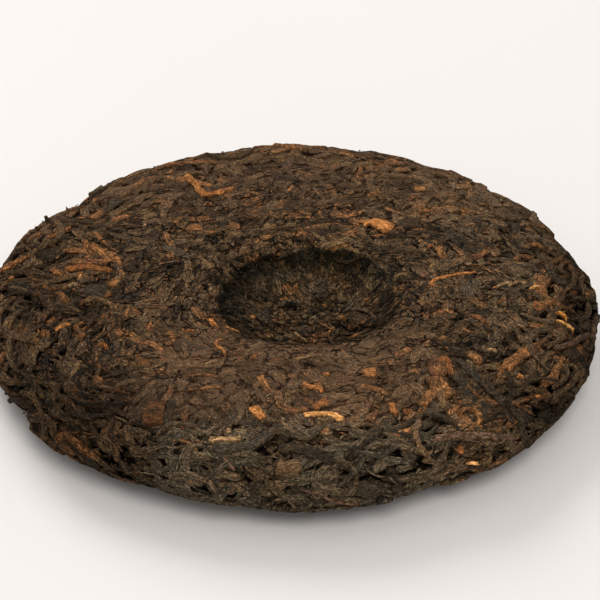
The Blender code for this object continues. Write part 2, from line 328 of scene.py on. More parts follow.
def leaf_finish(name, tones, contrast=1.0, specks=0.3, soil=0.0, rust=0.0, roughness=(0.55, 0.85),
                shine=LEAF_SHINE):
    """Wrinkled dry leaf: a tone for each leaf, creased along it, specked on top and soiled in patches, with
    painted light and shade.

    A leaf kind with much rust is a common one, which the front's grey and the painted sheen and haze lie on
    in full.
    """
    leaf = Finish(name)
    common = 1.0 if rust > 0.5 else 0.0
    tone = leaf.attribute("leaf_tone")
    order = leaf.attribute("leaf_order")
    depth = leaf.attribute("leaf_depth")
    loose = leaf.attribute("leaf_looseness")
    place = leaf.place()
    along, across, edge = leaf.parts(leaf.attribute("leaf_grain", "Vector"))
    # Patterns along the leaf, different on each leaf
    own = tone * 37.0 + order * 11.0
    sway = (leaf.noise(place, 500.0) - 0.5) * 1.6
    crease = leaf.noise(leaf.joined(along * 420.0, across * 1700.0 + sway, own), 1.0, 2.0, 0.6)
    fibre = leaf.noise(leaf.joined(along * 700.0 + sway, across * 3000.0 + sway, own), 1.0, 2.0, 0.6)
    streak = leaf.noise(leaf.joined(along * 230.0 + sway, across * 800.0 + sway, own), 1.0, 3.0, 0.6)
    furrow = leaf.span(leaf.maths("ABSOLUTE", crease - 0.5), 0.0, 0.10)
    # Patterns over the whole cake
    blotch = leaf.noise(place, MEDIUM, 3.0, 0.6)
    broad = leaf.noise(place, BROAD)
    grit = leaf.noise(place, GRIT, 3.0, 0.7)
    crack = cracks(leaf, place, blotch, loose)
    wall, wall_sheen = far_wall(leaf, place)
    near, grey = front_grey(leaf, place)
    shade, lip_shadow = shade_of_place(leaf, place)
    # Colour
    picked = leaf.span(tone + (blotch - 0.5) * 0.7 + (broad - 0.5) * 0.6, 0.0, 1.0)
    colour = leaf.ramp(picked * (1.0 - near * (0.3 * common)), tones)
    rusty = leaf.span(streak + (leaf.noise(place, 75.0) - 0.5) * 0.5, 0.58, 0.70)
    rusty = rusty * leaf.span(broad, 0.42, 0.60, 0.55, 1.0)
    rusty = rusty * (1.0 - wall * 0.7) * (1.0 - near * (0.8 * common))
    colour = leaf.mix(rusty * rust, colour, RUST)
    worn = leaf.span(edge + (grit - 0.5) * 1.6, 0.55, 1.0)
    soiled = leaf.span(leaf.noise(place, 290.0, 3.0, 0.65) + worn * 0.16, 0.48, 0.58) * soil
    colour = leaf.mix(soiled, colour, SOIL)
    # Painted grey sheen on the dimple's far wall
    colour = leaf.mix(wall_sheen, colour, PAINTED_SHEEN)
    colour = leaf.mix(grey * (0.8 * common), colour, FRONT_GREY)
    # Painted light and shade of the wrinkles, and painted shade on leaves low in the order, on leaves that
    # lie deep, at loose edges and in cracks
    light = leaf.span(furrow, 0.0, 1.0, 1.0 - 0.65 * contrast, 1.0 + 0.2 * contrast)
    light = light * leaf.span(fibre, 0.3, 0.7, 1.0 - 0.5 * contrast, 1.0 + 0.55 * contrast)
    light = light * leaf.span(grit, 0.35, 0.65, 1.0 - 0.4 * contrast, 1.0 + 0.5 * contrast)
    light = light * leaf.span(order, 0.0, 1.0, 0.75, 1.15) * shade
    deepest = leaf.span(loose, 0.5, 1.1, -0.9 * MM, -0.55 * MM)
    light = light * leaf.span(depth / loose, deepest, 0.1 * MM, leaf.span(loose, 0.35, 0.9, 0.34, 0.04), 1.0)
    parted = leaf.span(leaf.noise(place, 130.0, 2.0, 0.6) + loose * 0.14, 0.46, 0.62)
    light = light * (1.0 - leaf.span(edge, 0.76, 1.0) * parted * leaf.span(loose, 0.3, 1.0, 0.55, 0.90))
    light = light * (1.0 - crack * 0.92)
    # Painted shadow under the dimple's lip, in a dull green
    colour = leaf.mix(lip_shadow, leaf.shaded(colour, light), DIMPLE_SHADOW, "MULTIPLY")
    # Dust specks, and painted sheen and haze
    specked = leaf.span(grit * 0.5 + fibre * 0.5, 0.57, 0.68) * leaf.span(depth / loose, -0.5 * MM, 0.3 * MM)
    colour = leaf.mix(specked * (1.0 - crack) * specks, colour, SPECKS)
    haze = sheen_haze_of_place(leaf, place) * (0.4 + 0.6 * common)
    colour = leaf.mix(haze * (1.0 - crack * 0.7), colour, SHEEN_HAZE)
    rough = leaf.span(crease + blotch * 0.5, 0.4, 1.0, *roughness)
    grooves = leaf.bump(furrow * 0.5 + fibre * 0.5 - crack * 0.8, 0.0008)
    return leaf.finished(colour, rough, leaf.bump(grit, 0.0005, 0.9, grooves), shine)


def from_axis(sheet, place):
    """How far a place is from the cake's axis, level."""
    x, y, _ = sheet.parts(place)
    return sheet.vector("LENGTH", sheet.joined(x, y, 0.0), output="Value")


def from_dimple(sheet, place):
    """The way from the dimple's middle to a place, level, and how long it is."""
    x, y, _ = sheet.parts(place)
    way = sheet.joined(x - DIMPLE_MIDDLE.x, y - DIMPLE_MIDDLE.y, 0.0)
    return way, sheet.vector("LENGTH", way, output="Value")


def far_wall(sheet, place):
    """How much a place lies on the dimple's far wall, and how much painted grey sheen lies on it there."""
    way, off = from_dimple(sheet, place)
    ragged = sheet.noise(place, 120.0, 3.0, 0.6) - 0.5
    inside = sheet.span(off + ragged * (5.0 * MM), 1.00 * DIMPLE_RADIUS, 1.10 * DIMPLE_RADIUS, 1.0, 0.0)
    far = sheet.vector("DOT_PRODUCT", way, (-0.3, 1.0, 0.0), "Value") + ragged * (14.0 * MM)
    wall = inside * sheet.span(far, -2.0 * MM, 6.0 * MM)
    return wall, wall * sheet.span(sheet.noise(place, 95.0, 3.0, 0.55), 0.44, 0.62, 0.0, 0.55)


def front_grey(sheet, place):
    """How much a place is low on the front of the cake, and how slate grey leaves are there and at right."""
    x, y, _ = sheet.parts(place)
    near = sheet.span(sheet.maths("ABSOLUTE", x), 35.0 * MM, 62.0 * MM, 1.0, 0.0)
    near = near * sheet.span(y, -84.0 * MM, -66.0 * MM, 1.0, 0.0)
    right = sheet.span(x, 35.0 * MM, 70.0 * MM, 0.0, 0.35)
    patch = sheet.span(sheet.noise(place, 62.0, 2.0, 0.55), 0.40, 0.58, 0.2, 0.8)
    return near, sheet.maths("MAXIMUM", near, right) * patch


def bent_place(sheet, place, scale, detail, roughness, reach):
    """The place, moved about by a noise, so that a pattern on it is crooked."""
    bend = sheet.vector("SUBTRACT", sheet.noise(place, scale, detail, roughness, "Color"), (0.5, 0.5, 0.5))
    return sheet.vector("ADD", place, sheet.stretched(bend, reach))


def cracks(sheet, place, blotch, loose):
    """Thin broken cracks over the tightly pressed part, few in the dimple and none where leaves lie loose."""
    sockets = {"Vector": bent_place(sheet, place, 240.0, 2.0, 0.6, 6.0 * MM), "Scale": 150.0}
    cells = sheet.node("ShaderNodeTexVoronoi", {"feature": "DISTANCE_TO_EDGE"}, sockets, "Distance")
    off = from_dimple(sheet, place)[1]
    here = sheet.span(blotch, 0.47, 0.52) * sheet.span(loose, 0.6, 1.2, 1.0, 0.0)
    here = here * sheet.span(off, 0.9 * DIMPLE_RADIUS, 1.05 * DIMPLE_RADIUS, 0.3, 1.0)
    return sheet.span(cells, 0.03, 0.065, 1.0, 0.0) * here


def dimple_shade(sheet, place, ragged):
    """How much painted shadow a place gets under the dimple's lip, most at its back and left, and how much
    painted shade it gets in the gaps at the front of its floor."""
    way, off = from_dimple(sheet, place)
    inside = sheet.span(off + ragged * (5.0 * MM), 1.01 * DIMPLE_RADIUS, 1.06 * DIMPLE_RADIUS, 1.0, 0.0)
    back_left = sheet.vector("DOT_PRODUCT", way, (-0.8, 0.6, 0.0), "Value")
    front = sheet.vector("DOT_PRODUCT", way, (0.5, -0.85, 0.0), "Value")
    level = sheet.parts(place)[2] + ragged * (3.0 * MM)
    wall = sheet.span(level, DIMPLE_LIP - 8.5 * MM, DIMPLE_LIP - 2.0 * MM, 0.14, 0.90)
    gaps = sheet.span(front, 4.0 * MM, 18.0 * MM) * sheet.span(ragged, -0.06, 0.07, 0.0, 0.82)
    return inside * sheet.span(back_left, -14.0 * MM, 20.0 * MM, 0.35, 1.0) * wall, inside * gaps


def side_light(sheet, x, y):
    """The right half has a little more light. Both sides and the front left have less."""
    right = sheet.span(x, 0.15 * OUTER_RADIUS, 0.45 * OUTER_RADIUS, 1.12, 1.23)
    right_edge = sheet.span(x, 0.74 * OUTER_RADIUS, 0.93 * OUTER_RADIUS, 1.0, 0.47)
    left_edge = sheet.span(x, -0.85 * OUTER_RADIUS, -0.40 * OUTER_RADIUS, 0.86, 1.0)
    at_left = sheet.span(x, -65.0 * MM, -35.0 * MM, 1.0, 0.0)
    front_left = at_left * sheet.span(y, -60.0 * MM, -25.0 * MM, 0.42, 0.0)
    return right * right_edge * left_edge * (1.0 - front_left)


def patch_light(sheet, x, y, patch, ragged, full, end, light):
    """The light on a patch: in full out to one share of its size, and fading to nothing at another."""
    x_middle, y_middle, long, wide = patch
    reach = sheet.joined((x - x_middle * MM) / (long * MM), (y - y_middle * MM) / (wide * MM), 0.0)
    return sheet.span(sheet.vector("LENGTH", reach, output="Value") + ragged, full, end, light, 1.0)


def shade_of_place(sheet, place):
    """The light that a place gets, and how far it is under the dimple's lip, where the light is dull."""
    x, y, _ = sheet.parts(place)
    ragged = sheet.noise(place, 190.0, 3.0, 0.6) - 0.5
    frayed = (sheet.noise(place, 560.0, 3.0, 0.65) - 0.5) * 3.2
    lip_shadow, gaps = dimple_shade(sheet, place, ragged)
    # Painted shadow under the dimple's lip, painted shade in the gaps of its floor, and painted light on the
    # sides
    shade = (1.0 - lip_shadow) * (1.0 - gaps) * side_light(sheet, x, y)
    # Painted shadows of the holes in the dimple's floor
    for hollow_shadow in HOLLOW_SHADOWS:
        shade = shade * patch_light(sheet, x, y, hollow_shadow, frayed, 0.45, 0.95, 0.14)
    # Wide patches of painted light and shade, partly the leaves' own tone
    for *patch, light in LIGHT_AND_TONE_PATCHES.values():
        shade = shade * patch_light(sheet, x, y, patch, ragged, 0.5, 1.3, light)
    return shade, lip_shadow


def sheen_haze_of_place(sheet, place):
    """How much painted sheen and haze lighten and dull the leaves: most in front of the dimple, some at the
    back.
    """
    x, y, z = sheet.parts(place)
    crest = sheet.span(y, -78.0 * MM, -62.0 * MM) * sheet.span(y, -34.0 * MM, -26.0 * MM, 1.0, 0.0)
    crest = crest * sheet.span(sheet.maths("ABSOLUTE", x), 30.0 * MM, 56.0 * MM, 1.0, 0.0)
    far = sheet.span(y, 25.0 * MM, 60.0 * MM)
    uneven = sheet.span(sheet.noise(place, 85.0, 3.0, 0.6), 0.35, 0.65, 0.7, 1.2)
    return (crest * 0.46 + far * 0.24) * uneven * sheet.span(z, DIMPLE_LIP - 6.0 * MM, DIMPLE_LIP - 2.0 * MM)


def core_finish():
    """Leaf and dust pressed to one sheet under the leaves, with painted shade where leaves lie loose over it.
    """
    sheet = Finish("pressed_leaf_dust")
    place = sheet.place()
    loose = sheet.span(from_axis(sheet, place), TIGHT_RADIUS, SLACK_RADIUS, TIGHT, SLACK)
    grit = sheet.noise(place, 1400.0, 3.0, 0.7)
    fine = sheet.noise(place, 2600.0, 2.0, 0.6)
    blotch = sheet.noise(place, MEDIUM, 3.0, 0.6)
    bent = bent_place(sheet, place, 210.0, 3.0, 0.65, 9.0 * MM)
    thread = sheet.noise(sheet.vector("MULTIPLY", bent, (300.0, 1500.0, 700.0)), 1.0, 3.0, 0.65)
    bits = sheet.node("ShaderNodeTexVoronoi", {"feature": "F1"}, {"Vector": bent, "Scale": 420.0}, "Color")
    crack = cracks(sheet, place, blotch, loose)
    wall, wall_sheen = far_wall(sheet, place)
    shade, lip_shadow = shade_of_place(sheet, place)
    tone = sheet.parts(bits)[0] * 0.22 + thread * 0.8 + grit * 0.5 + blotch * 0.35
    colour = sheet.ramp(sheet.span(tone, 0.70, 1.16), CORE_TONES)
    colour = sheet.mix(wall * 0.35, colour, DIMPLE_BROWN)
    # Painted grey sheen on the dimple's far wall
    colour = sheet.mix(wall_sheen, colour, PAINTED_SHEEN)
    # Painted shade where leaves lie loose over the core, in cracks and near the floor, and painted light and
    # shade over the cake
    light = sheet.span(loose, 0.4, 1.1, 0.95, 0.15) * (1.0 - crack * 0.92) * shade
    light = light * sheet.span(fine, 0.3, 0.7, 0.6, 1.3)
    light = light * sheet.span(sheet.parts(place)[2], 0.0, 2.0 * MM, 0.75, 1.0)
    # Painted shadow under the dimple's lip, in a dull green
    colour = sheet.mix(lip_shadow, sheet.shaded(colour, light), DIMPLE_SHADOW, "MULTIPLY")
    # Painted sheen and haze over the crest and the back
    colour = sheet.mix(sheen_haze_of_place(sheet, place) * (1.0 - crack * 0.7), colour, SHEEN_HAZE)
    normal = sheet.bump(grit + thread + fine * 0.5 - crack, 0.0007)
    return sheet.finished(colour, sheet.span(blotch, 0.3, 0.7, 0.65, 0.85), normal, DULL_SHINE)


def floor_finish():
    floor = Finish("pale_floor")
    place = floor.place()
    cloud = floor.noise(place, 3.0, 3.0)
    colour = floor.mix(cloud, *FLOOR_COLOURS)
    rough = floor.span(cloud, 0.3, 0.7, 0.55, 0.7)
    return floor.finished(colour, rough, floor.bump(floor.noise(place, 900.0), 0.0001, 0.2), FLOOR_SHINE)


def leaf_finishes():
    return {
        "dark": leaf_finish("dark_leaf", DARK_TONES, rust=0.75),
        "slate": leaf_finish("slate_leaf", SLATE_TONES, 0.75, 0.15, 0.45, 0.2, (0.6, 0.8), DULL_SHINE),
        "russet": leaf_finish("russet_leaf", RUSSET_TONES, 0.8, 0.2, 0.75),
        "stem": leaf_finish("stem", STEM_TONES, 0.7, 0.2, 0.55, 0.3),
        "gold": leaf_finish("gold_bud", GOLD_TONES, 0.7, 0.15, 0.1),
        "bright": leaf_finish("bright_bud", BRIGHT_TONES, 0.6, 0.1),
        "tan": leaf_finish("tan_leaf", TAN_TONES, 0.8, 0.2, 0.45, 0.3),
        "hair": leaf_finish("pale_hair", HAIR_TONES, 0.3, 0.1),
        "orange": leaf_finish("orange_leaf", ORANGE_TONES, 0.8, 0.15, 0.4),
    }


# Shapes of single leaves, each lying along X with its back up

def smooth_run(chance, count, reach):
    """Random numbers that change gently from one to the next."""
    rough = [chance.uniform(-reach, reach) for _ in range(count + 2)]
    return [(rough[i] + 2 * rough[i + 1] + rough[i + 2]) / 4 for i in range(count)]


def leaf_shape(name, chance, length, width, thick, stations, blunt, bend=0.25, ragged=0.15, crumple=0.25):
    """A flattened leaf with a crumpled back and tucked edges."""
    sides = (-1.0, -0.80, -0.30, 0.25, 0.78, 1.0)
    last = len(sides) - 1
    points = []
    grain = []
    turn = chance.uniform(-bend, bend)
    wiggle = smooth_run(chance, stations, 0.5 * width)
    swells = (smooth_run(chance, stations, ragged), smooth_run(chance, stations, ragged))
    folds = [smooth_run(chance, stations, crumple) for _ in sides]
    for i in range(stations):
        share = i / (stations - 1)
        taper = blunt + (1 - blunt) * math.sin(math.pi * min(max(share, 0.04), 0.96)) ** 0.7
        x = (share - 0.5) * length
        y = turn * length * (share - 0.5) ** 2 * 2 + wiggle[i] * 0.6
        tucked = 1.0 if i in (0, stations - 1) else 0.0
        for k, side in enumerate(sides):
            half = width / 2 * taper * (1 + swells[side > 0][i])
            level = -1.1 if k in (0, last) else 0.6 + folds[k][i] + chance.uniform(-0.12, 0.12)
            points.append((x, y + side * half, thick * (level - 1.2 * tucked)))
            grain.append((share * length, side * half, max(abs(side), tucked)))
    return stored_shape(name, points, tube_faces(stations, len(sides)), grain)


def tube_faces(stations, ring, first=0):
    """The faces of a tube from its first point on: quads between its rings of points, and both ends."""
    faces = []
    for i in range(stations - 1):
        here = first + i * ring
        for k in range(ring):
            j = (k + 1) % ring
            faces.append((here + k, here + ring + k, here + ring + j, here + j))
    last = first + (stations - 1) * ring
    return faces + [tuple(range(first, first + ring)), tuple(range(last, last + ring))[::-1]]


def round_shape(name, chance, length, width, sides, stations, taper, knots=0.12, bend=0.12):
    """A stem or a bud: round, a little crooked, closed at both ends."""
    points = []
    grain = []
    turn = chance.uniform(-bend, bend)
    wiggle = smooth_run(chance, stations, knots * width)
    for i in range(stations):
        share = i / (stations - 1)
        fullness = taper + (1 - taper) * math.sin(math.pi * min(max(share, 0.06), 0.94)) ** 0.6
        radius = width / 2 * fullness * (1 + chance.uniform(-knots, knots))
        x = (share - 0.5) * length
        y = turn * length * (share - 0.5) ** 2 * 2 + wiggle[i]
        for k in range(sides):
            angle = math.tau * (k + 0.5) / sides
            points.append((x, y + radius * math.cos(angle), radius * math.sin(angle) * 0.8))
            grain.append((share * length, width * angle / 4, 0.0))
    return stored_shape(name, points, tube_faces(stations, sides), grain)


def chip_shape(name, chance, size):
    """A crumb: an uneven block with six corners."""
    points = []
    for axis in range(3):
        for sign in (-1, 1):
            corner = [chance.uniform(-0.3, 0.3) * size for _ in range(3)]
            corner[axis] = sign * size * chance.uniform(0.35, 0.6) * (0.6 if axis == 2 else 1.0)
            points.append(tuple(corner))
    faces = [(0, 2, 4), (2, 1, 4), (1, 3, 4), (3, 0, 4), (2, 0, 5), (1, 2, 5), (3, 1, 5), (0, 3, 5)]
    return stored_shape(name, points, faces, [(x, y, 0.0) for x, y, _ in points])


def stored_shape(name, points, faces, grain):
    """A shape as an object. It keeps each point's height, and its place along and across the leaf."""
    mesh = bpy.data.meshes.new(name)
    mesh.from_pydata(points, [], faces)
    work = bmesh.new()
    work.from_mesh(mesh)
    bmesh.ops.recalc_face_normals(work, faces=work.faces)
    work.to_mesh(mesh)
    work.free()
    mesh.shade_smooth()
    height = mesh.attributes.new("leaf_height", "FLOAT", "POINT")
    run = mesh.attributes.new("leaf_grain", "FLOAT_VECTOR", "POINT")
    for i, point in enumerate(points):
        height.data[i].value = point[2]
        run.data[i].vector = grain[i]
    return bpy.data.objects.new(name, mesh)


def shape_set(name, count, make):
    """A collection of different shapes of one kind, made by the same rule."""
    held = bpy.data.collections.new(name)
    for i in range(count):
        held.objects.link(make(f"{name}_{i:02d}"))
    return held


def leaf_kinds():
    """Every kind of loose shape, with its count and its sizes in millimetres. A pair is a range."""
    chance = random.Random(SHAPE_SEED)

    def drawn(size):
        return chance.uniform(*size) if isinstance(size, tuple) else size

    def leaves(name, count, length, width, thick, stations, blunt, **form):
        return shape_set(name, count, lambda title: leaf_shape(
            title, chance, drawn(length) * MM, drawn(width) * MM, thick * MM, stations, drawn(blunt), **form))

    def sticks(name, count, length, width, sides, stations, taper, **form):
        return shape_set(name, count, lambda title: round_shape(
            title, chance, drawn(length) * MM, drawn(width) * MM, sides, stations, taper, **form))

    def chips(name, count, size):
        return shape_set(name, count, lambda title: chip_shape(title, chance, drawn(size) * MM))

    return {
        "strip": leaves("strip", 16, (12, 24), (1.8, 4.8), 0.35, 9, 0.4, bend=0.35, ragged=0.35),
        "broken": leaves("broken_leaf", 16, (4, 10), (1.6, 4.4), 0.35, 6, (0.5, 0.8), bend=0.2, ragged=0.45),
        "rim_strip": leaves("rim_strip", 12, (11, 24), (1.8, 3.8), 0.9, 12, 0.5, bend=0.9, ragged=0.3,
                            crumple=0.35),
        "small": leaves("small_leaf", 12, (2, 8), (1.0, 3.6), 0.20, 5, (0.5, 0.9), bend=0.4, ragged=0.6),
        "fibre": sticks("fibre", 10, (4, 10), (0.5, 0.9), 3, 6, 0.4, bend=0.35, knots=0.2),
        "shred": sticks("shred", 10, (2.5, 6.0), (0.5, 1.1), 4, 5, 0.4, bend=0.4),
        "flat": leaves("flat_leaf", 8, (9, 16), (4.0, 7.0), 0.5, 8, 0.35, bend=0.2, crumple=0.15),
        "russet": leaves("russet_leaf", 10, (3, 9), (1.2, 3.4), 0.6, 6, 0.4, bend=0.3, ragged=0.5,
                         crumple=0.4),
        "stem": sticks("stem", 6, (12, 24), (1.3, 2.1), 6, 7, 0.7),
        "bud": sticks("gold_bud", 6, (3, 6), (0.8, 1.4), 5, 6, 0.15, bend=0.4),
        "fleck": sticks("fleck", 8, (0.9, 2.4), (0.5, 1.0), 4, 4, 0.3, bend=0.4, knots=0.3),
        "chip": chips("leaf_chip", 10, (0.6, 1.4)),
        "crumb": chips("crumb", 8, (1.0, 2.6)),
        "hair": sticks("hair", 8, (2.0, 5.5), (0.22, 0.34), 3, 7, 0.5, bend=0.6, knots=0.2),
    }


# The skin and the core

def skin_copy(name, voxel, smoothing):
    """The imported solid's skin as one even, smooth mesh."""
    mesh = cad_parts[CAKE].data.copy()
    work = bmesh.new()
    work.from_mesh(mesh)
    bmesh.ops.remove_doubles(work, verts=work.verts, dist=1e-6)
    work.to_mesh(mesh)
    work.free()
    mesh.materials.clear()
    skin = bpy.data.objects.new(name, mesh)
    bpy.context.scene.collection.objects.link(skin)
    remesh = skin.modifiers.new("even_mesh", "REMESH")
    remesh.mode = "VOXEL"
    remesh.voxel_size = voxel
    calm = skin.modifiers.new("smoothing", "SMOOTH")
    calm.factor = 0.5
    calm.iterations = smoothing
    return made_plain(skin)


def made_plain(thing):
    """The object with its modifiers applied and removed."""
    graph = bpy.context.evaluated_depsgraph_get()
    mesh = bpy.data.meshes.new_from_object(thing.evaluated_get(graph))
    thing.modifiers.clear()
    thing.data = mesh
    mesh.name = thing.name
    return thing


class Plant(Sheet):
    """A Geometry Nodes tree with named inputs, put on an object as a modifier."""

    def __init__(self, name, inputs):
        tree = bpy.data.node_groups.new(name, "GeometryNodeTree")
        super().__init__(tree)
        self.named = {}
        face = tree.interface
        face.new_socket("Geometry", in_out="INPUT", socket_type="NodeSocketGeometry")
        for key, (kind, value) in inputs.items():
            made = face.new_socket(key, in_out="INPUT", socket_type="NodeSocket" + kind)
            self.named[key] = (made.identifier, value)
        face.new_socket("Geometry", in_out="OUTPUT", socket_type="NodeSocketGeometry")
        self.entry = tree.nodes.new("NodeGroupInput")
        self.exit = tree.nodes.new("NodeGroupOutput")

    def given(self, name):
        return Wire(self, self.entry.outputs[name])

    def put_on(self, thing):
        modifier = thing.modifiers.new(self.tree.name, "NODES")
        modifier.node_group = self.tree
        for identifier, value in self.named.values():
            modifier[identifier] = value
        return made_plain(thing)

    def random(self, low, high, seed, kind="FLOAT"):
        sockets = {"Min": low, "Max": high, "Seed": seed}
        return self.node("FunctionNodeRandomValue", {"data_type": kind}, sockets, "Value")

    def stored(self, geometry, name, value, domain="POINT"):
        sockets = {"Geometry": geometry, "Name": name, "Value": value}
        return self.node("GeometryNodeStoreNamedAttribute", {"data_type": "FLOAT", "domain": domain}, sockets)

    def read(self, name):
        settings = {"data_type": "FLOAT"}
        return self.node("GeometryNodeInputNamedAttribute", settings, {"Name": name}, "Attribute")

    def ends_smooth(self, geometry):
        """Ends the tree with the geometry shaded smooth and in its material."""
        smooth = self.node("GeometryNodeSetShadeSmooth", {}, {"Geometry": geometry})
        sockets = {"Geometry": smooth, "Material": self.given("Material")}
        self.feed(self.exit.inputs["Geometry"], self.node("GeometryNodeSetMaterial", {}, sockets))


def core_piece():
    """The dark core, a little lower than the leaves, with its own crags."""
    core = skin_copy("tea_core", CORE_VOXEL, CORE_SMOOTHING)
    inputs = {
        "Sink": ("Float", CORE_SINK),
        "Sink At Rim": ("Float", CORE_SINK_AT_RIM),
        "Crag Height": ("Float", CORE_CRAGS),
        "Lift Below": ("Float", CORE_LIFT_BELOW),
        "Material": ("Material", core_finish()),
    }
    plant = Plant("craggy_core", inputs)
    given = plant.given
    place = plant.node("GeometryNodeInputPosition")
    normal = plant.node("GeometryNodeInputNormal")
    crag = plant.noise(place, 420.0, 3.0, 0.65) + plant.noise(place, MEDIUM) * 0.6 - 0.8
    height = plant.parts(place)[2]
    rim = 0.75 * OUTER_RADIUS, 0.95 * OUTER_RADIUS
    sink = plant.span(from_axis(plant, place), *rim, given("Sink"), given("Sink At Rim"))
    push = (crag * given("Crag Height") - sink) * plant.span(height, 0.0, 2.0 * MM)
    lifted = plant.joined(0.0, 0.0, plant.span(height, 0.0, 2.0 * MM, given("Lift Below"), 0.0))
    offset = plant.vector("ADD", plant.stretched(normal, push), lifted)
    moved = {"Geometry": given("Geometry"), "Offset": offset}
    plant.ends_smooth(plant.node("GeometryNodeSetPosition", {}, moved))
    return plant.put_on(core)


def lie_of_cake(plant, place):
    """How far a place is from the cake's axis and the dimple's, how high it is, and the dimple's way out."""
    way, off = from_dimple(plant, place)
    return from_axis(plant, place), off, plant.parts(place)[2], way


def on_top(plant, height):
    """One on the cake's upper side, nothing below it."""
    return plant.span(height, TOP_BEGINS, TOP_FULL)


def leaf_way(plant, place):
    """The way leaves lie: round the rim, round the dimple's lip, down its wall, and flowing in between."""
    radius, off, height, out = lie_of_cake(plant, place)
    flow = plant.vector("SUBTRACT", plant.noise(place, 32.0, 1.5, 0.5, "Color"), (0.5, 0.5, 0.5))
    round_rim = plant.vector("NORMALIZE", plant.vector("CROSS_PRODUCT", (0, 0, 1), place))
    outward = plant.vector("NORMALIZE", out)
    round_dimple = plant.vector("CROSS_PRODUCT", (0, 0, 1), outward)
    above = on_top(plant, height)
    at_rim = plant.span(radius, 0.70 * OUTER_RADIUS, 0.96 * OUTER_RADIUS, 0.0, 1.8)
    at_lip = plant.span(off, 0.93 * DIMPLE_RADIUS, 1.1 * DIMPLE_RADIUS)
    at_lip = at_lip * plant.span(off, 0.040, 0.062, 1.5, 0.0)
    on_wall = plant.span(off, DIMPLE_FLOOR_RADIUS, 0.018) * plant.span(off, 0.026, 0.029, 2.0, 0.0)
    way = plant.stretched(flow, 5.0)
    for part, strength in ((round_rim, at_rim), (round_dimple, at_lip * above), (outward, on_wall * above)):
        way = plant.vector("ADD", way, plant.stretched(part, strength))
    return way


def looseness_at(plant, place):
    """How loosely leaves are pressed: least round the dimple, most at the rim."""
    radius, off, height, _ = lie_of_cake(plant, place)
    outside = plant.span(radius, TIGHT_RADIUS, SLACK_RADIUS, TIGHT, SLACK, smooth=True)
    return outside + plant.span(off, DIMPLE_FLOOR_RADIUS, 0.020, 0.35, 0.0) * on_top(plant, height)


def laid_leaves(name, skin, shapes, finish, seed, spacing, size=(0.8, 1.2), lift=(-0.4, 0.3), cap=0.35,
                turn=0.5, zone=None):
    """Leaves of one kind spread over the skin, bent to it and pressed flat at the cap.

    lift and cap are millimetres over the skin. turn is how far leaves turn off the way the others lie.
    """
    inputs = {
        "Shapes": ("Collection", shapes),
        "Spacing": ("Float", spacing),
        "Smallest": ("Float", size[0]),
        "Largest": ("Float", size[1]),
        "Turn": ("Float", turn),
        "Low": ("Float", lift[0] * MM),
        "High": ("Float", lift[1] * MM),
        "Cap": ("Float", cap * MM),
        "Warp": ("Float", WARP),
        "Seed": ("Int", seed),
        "Material": ("Material", finish),
    }
    plant = Plant(name, inputs)
    given = plant.given

    def drawn(low, high, step, kind="FLOAT"):
        return plant.random(low, high, given("Seed") + step, kind)

    place = plant.node("GeometryNodeInputPosition")
    radius, off, height, _ = lie_of_cake(plant, place)
    here = zone(plant, place, radius, off, height) if zone else 1.0
    share = plant.span(height, 1.0 * MM, 3.0 * MM, SHARE_BELOW, 1.0) * here
    scatter = {"Mesh": given("Geometry"), "Distance Min": given("Spacing"), "Density Max": DENSEST,
               "Density Factor": share, "Seed": given("Seed")}
    spots = plant.node("GeometryNodeDistributePointsOnFaces", {"distribute_method": "POISSON"}, scatter)
    spot_normal = Wire(plant, spots.link.node.outputs["Normal"])
    upright = plant.node("FunctionNodeAlignRotationToVector", {"axis": "Z"}, {"Vector": spot_normal})
    heading = plant.node("FunctionNodeAlignRotationToVector", {"axis": "X", "pivot_axis": "Z"},
                         {"Rotation": upright, "Vector": leaf_way(plant, place)})
    angle = (drawn(-1.0, 1.0, 1) + drawn(-1.0, 1.0, 2)) * given("Turn")
    angle = angle + plant.maths("ROUND", drawn(0.0, 1.0, 3)) * math.pi
    spin = plant.node("FunctionNodeAxisAngleToRotation", {}, {"Axis": (0, 0, 1), "Angle": angle})
    turned = plant.node("FunctionNodeRotateRotation", {"rotation_space": "LOCAL"},
                        {"Rotation": heading, "Rotate By": spin})
    scale = [drawn(given("Smallest"), given("Largest"), step) for step in (4, 5)]
    kinds = plant.node("GeometryNodeCollectionInfo", {},
                       {"Collection": given("Shapes"), "Separate Children": True, "Reset Children": True})
    laid = plant.node("GeometryNodeInstanceOnPoints", {}, {
        "Points": spots, "Instance": kinds, "Pick Instance": True, "Instance Index": drawn(0, 999, 6, "INT"),
        "Rotation": turned, "Scale": plant.joined(*scale, 1.0)})
    laid = plant.stored(laid, "leaf_tone", drawn(0.0, 1.0, 7), "INSTANCE")
    laid = plant.stored(laid, "leaf_order", drawn(0.0, 1.0, 8), "INSTANCE")
    loose = plant.node("GeometryNodeRealizeInstances", {}, {"Geometry": laid})
    plant.ends_smooth(pressed(plant, loose))
    carrier = bpy.data.objects.new(name, skin.data.copy())
    bpy.context.scene.collection.objects.link(carrier)
    return plant.put_on(carrier)


def above_only(plant, value, ease):
    """The value where it is above zero and almost nothing below, with a soft bend between."""
    return (value + plant.maths("SQRT", value * value + ease * ease)) * 0.5


